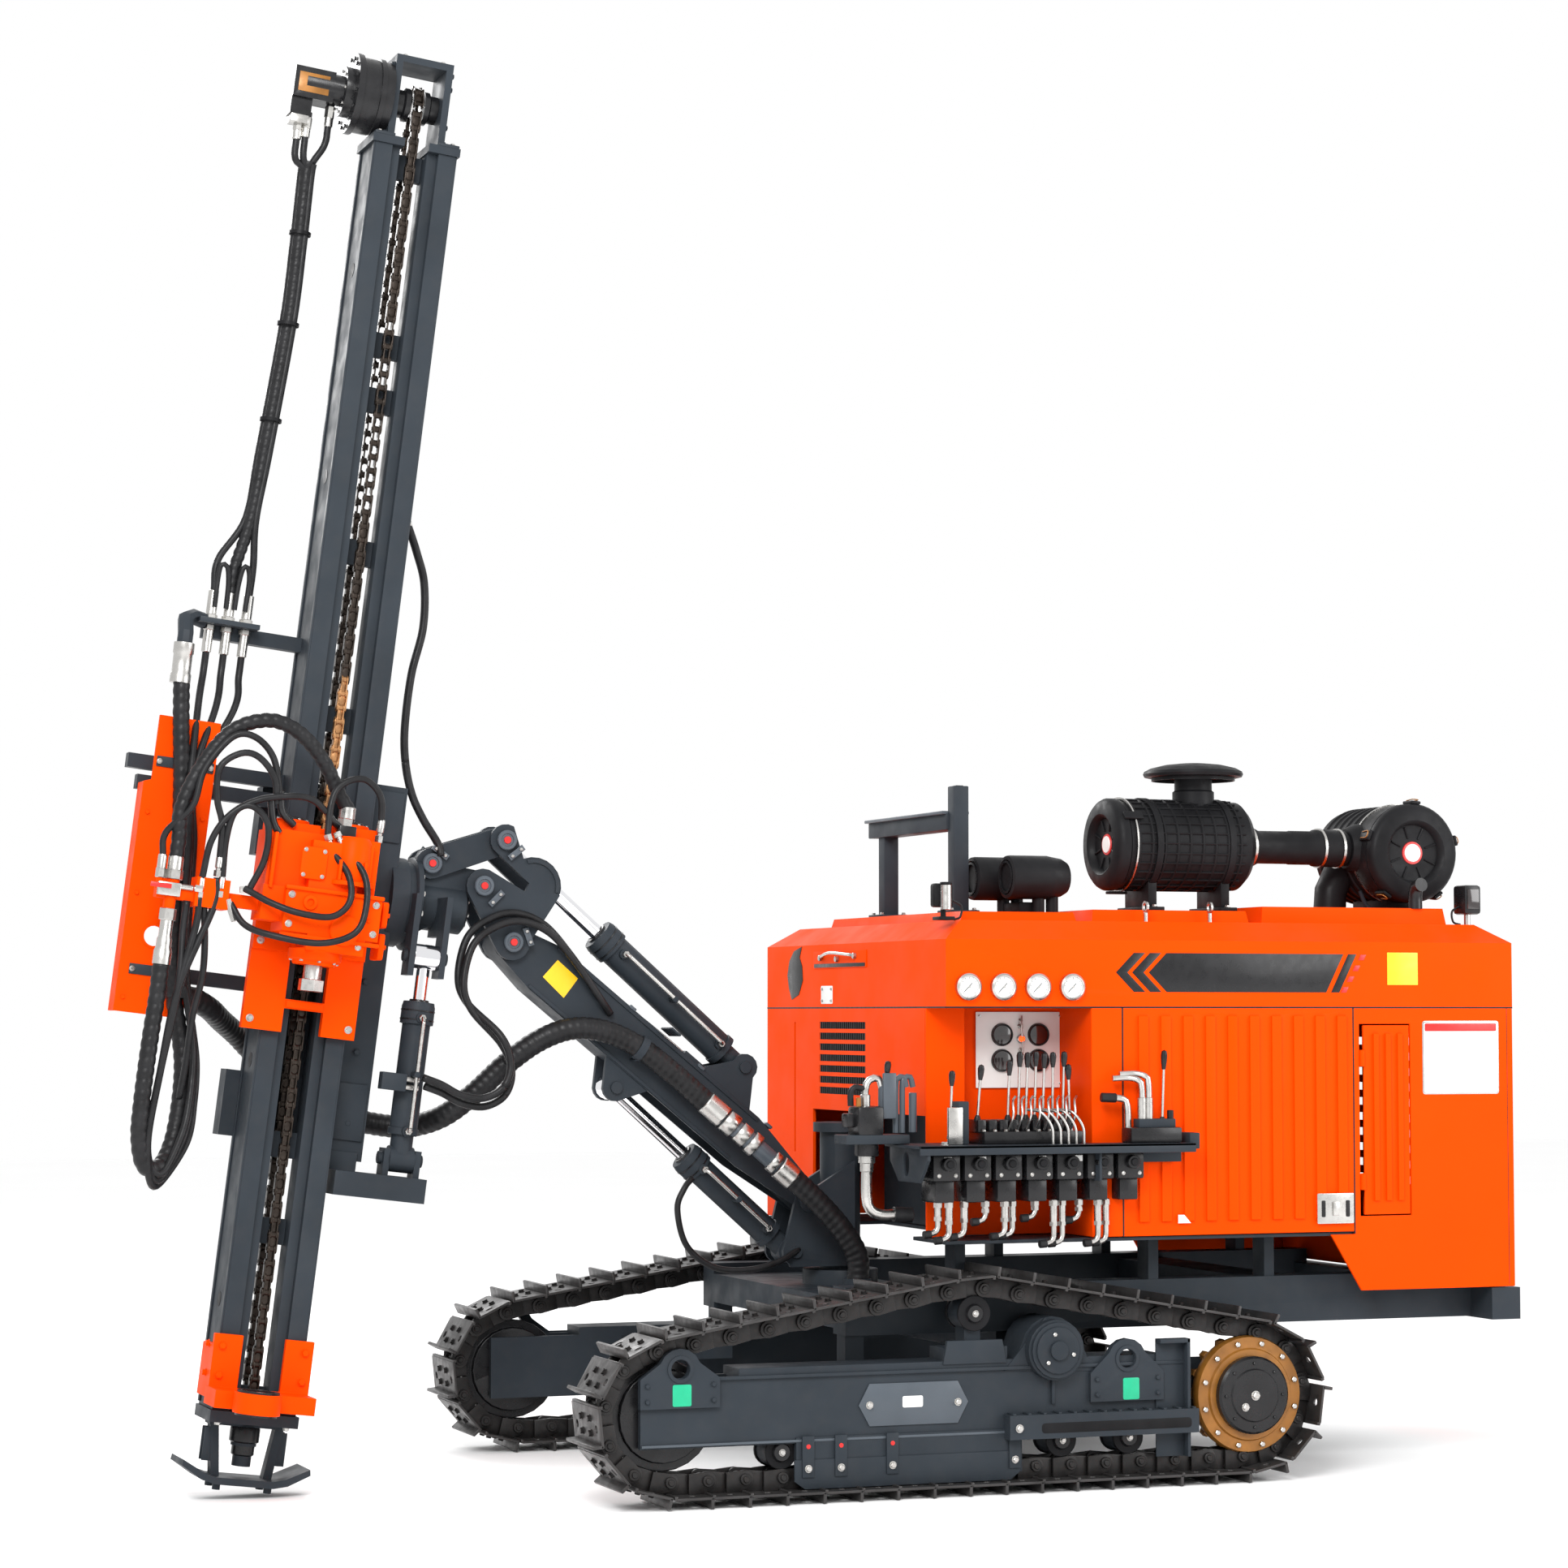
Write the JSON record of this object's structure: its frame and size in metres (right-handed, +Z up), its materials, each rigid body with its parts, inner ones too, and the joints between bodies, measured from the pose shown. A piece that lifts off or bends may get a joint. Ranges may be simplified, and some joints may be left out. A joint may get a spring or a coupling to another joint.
{
  "type": "down-the-hole crawler drilling rig",
  "caption": "Crawler drilling rig with machinery house, lever bench, lifting boom, tilting mast on a swing head and a chain-fed rotary head.",
  "frame": {"origin": "middle of the rig's length and width, on the ground under the tracks", "axes": "+X forwards to the mast, +Y to the side with the lever bench, +Z up"},
  "size_m": [5.1058, 2.1, 5.0827],
  "materials": {
    "orange_paint": "gloss",
    "grey_paint": "satin",
    "black_plastic": "satin",
    "black_metal": "satin",
    "track_steel": "matte",
    "chrome": "polished",
    "ochre_paint": "satin",
    "hose_rubber": "satin"
  },
  "bodies": {
    "chassis": {"chassis_frame": "grey_paint", "track_left": "track_steel", "track_right": "track_steel", "track_frame_left": "grey_paint", "track_frame_right": "grey_paint", "idler_left": "black_plastic", "idler_right": "black_plastic", "sprocket_left": "ochre_paint", "sprocket_right": "ochre_paint", "hood": "orange_paint", "front_panel": "orange_paint", "front_niche": "grey_paint", "control_recess": "orange_paint", "left_side_panel": "orange_paint", "left_rear_panel": "orange_paint", "right_front_panel": "orange_paint", "right_rear_panel": "orange_paint", "rear_panel": "orange_paint", "deck": "grey_paint", "power_unit": "grey_paint", "air_filter_front": "black_plastic", "air_filter_rear": "black_plastic", "precleaners": "black_plastic", "mast_rest": "grey_paint", "control_bench": "grey_paint", "valve_bank": "black_metal", "levers_main": "black_metal", "levers_rear": "black_metal", "air_hose_rear": "hose_rubber"},
    "left_service_door": {"left_service_door": "orange_paint"},
    "right_door": {"right_door": "orange_paint"},
    "swing": {"swing_post": "grey_paint", "air_hose_swing": "hose_rubber"},
    "boom": {"boom": "grey_paint", "air_hose_boom": "hose_rubber"},
    "lift_barrel": {"lift_barrel": "grey_paint"},
    "lift_rod": {"lift_rod": "chrome"},
    "pitch_barrel": {"pitch_barrel": "grey_paint"},
    "pitch_rod": {"pitch_rod": "chrome"},
    "knuckle": {"knuckle_plates": "grey_paint", "head_link": "grey_paint", "mast_head": "grey_paint", "air_hose_head": "hose_rubber"},
    "cradle": {"cradle": "grey_paint", "air_hose_mast": "hose_rubber"},
    "mast_swing_barrel": {"mast_swing_barrel": "grey_paint"},
    "mast_swing_rod": {"mast_swing_rod": "chrome"},
    "mast": {"mast_rails": "grey_paint", "feed_drive": "black_metal", "feed_chain": "track_steel", "hose_tray": "orange_paint", "drill_guide": "orange_paint", "mast_foot": "grey_paint", "feed_hose": "hose_rubber", "tray_hose": "hose_rubber"},
    "carriage": {"sled": "orange_paint", "rotary_head": "orange_paint", "loop_hose": "hose_rubber", "arch_hose": "hose_rubber"},
    "spindle": {"spindle": "chrome"}
  },
  "joints": [
    {"name": "boom_swing", "type": "hinge", "parent": "chassis", "child": "swing", "pos_m": [-0.199, 0, 0.9], "axis": [0, 0, 1], "range_deg": [-30, 30], "deforming": ["air_hose_rear"]},
    {"name": "boom_lift", "type": "hinge", "parent": "swing", "child": "boom", "pos_m": [-0.045, 0, 0.98], "axis": [0, 1, 0], "range_deg": [-35, 25], "deforming": ["air_hose_swing"]},
    {"name": "lift_barrel_turn", "type": "hinge", "parent": "swing", "child": "lift_barrel", "pos_m": [0.015, 0, 0.79], "axis": [0, 1, 0], "range_deg": [-33, 24]},
    {"name": "lift_rod_slide", "type": "slide", "parent": "lift_barrel", "child": "lift_rod", "axis": [0.749, 0, 0.6625], "range_m": [-0.08, 0.11]},
    {"name": "mast_pitch", "type": "hinge", "parent": "boom", "child": "knuckle", "pos_m": [1.101, 0, 1.918], "axis": [0, -1, 0], "range_deg": [-20, 60], "deforming": ["air_hose_boom"]},
    {"name": "pitch_barrel_turn", "type": "hinge", "parent": "boom", "child": "pitch_barrel", "pos_m": [0.203, 0, 1.466], "axis": [0, -1, 0], "range_deg": [-4, 10]},
    {"name": "pitch_rod_slide", "type": "slide", "parent": "pitch_barrel", "child": "pitch_rod", "axis": [0.7487, 0, 0.6629], "range_m": [-0.33, 0.12]},
    {"name": "mast_swing", "type": "hinge", "parent": "knuckle", "child": "cradle", "pos_m": [1.4961, 0, 2.0586], "axis": [0.9925, 0, 0.1219], "range_deg": [-30, 25], "deforming": ["air_hose_head"]},
    {"name": "swing_barrel_turn", "type": "hinge", "parent": "cradle", "child": "mast_swing_barrel", "pos_m": [1.53192, 0.17, 1.15116], "axis": [0.9925, 0, 0.1219], "range_deg": [-8, 7]},
    {"name": "swing_rod_slide", "type": "slide", "parent": "mast_swing_barrel", "child": "mast_swing_rod", "axis": [-0.1219, 0, 0.9925], "range_m": [-0.08, 0.095]},
    {"name": "mast_slide", "type": "slide", "parent": "cradle", "child": "mast", "axis": [-0.1219, 0, 0.9925], "range_m": [-0.25, 0.65], "deforming": ["air_hose_mast"]},
    {"name": "head_feed", "type": "slide", "parent": "mast", "child": "carriage", "axis": [-0.1219, 0, 0.9925], "range_m": [-1, 2.35], "deforming": ["loop_hose"]},
    {"name": "spindle_turn", "type": "hinge", "parent": "carriage", "child": "spindle", "pos_m": [1.91972, 0.47, 1.80831], "axis": [-0.1219, 0, 0.9925], "continuous": true},
    {"name": "left_service_door_hinge", "type": "hinge", "parent": "chassis", "child": "left_service_door", "pos_m": [-1.899, 0.9, 1.275], "axis": [0, 0, -1], "range_deg": [0, 100]},
    {"name": "right_door_hinge", "type": "hinge", "parent": "chassis", "child": "right_door", "pos_m": [-0.941, -0.9, 1.2775], "axis": [0, 0, 1], "range_deg": [0, 100]}
  ],
  "couplings": [
    {"joint": "lift_barrel_turn", "follows": "boom_lift", "ratio": 0.9045},
    {"joint": "lift_rod_slide", "follows": "boom_lift", "m_per_rad": -0.169},
    {"joint": "pitch_barrel_turn", "follows": "mast_pitch", "ratio": 0.15},
    {"joint": "pitch_rod_slide", "follows": "mast_pitch", "m_per_rad": -0.3055},
    {"joint": "swing_barrel_turn", "follows": "mast_swing", "ratio": 0.242},
    {"joint": "swing_rod_slide", "follows": "mast_swing", "m_per_rad": -0.1677}
  ]
}
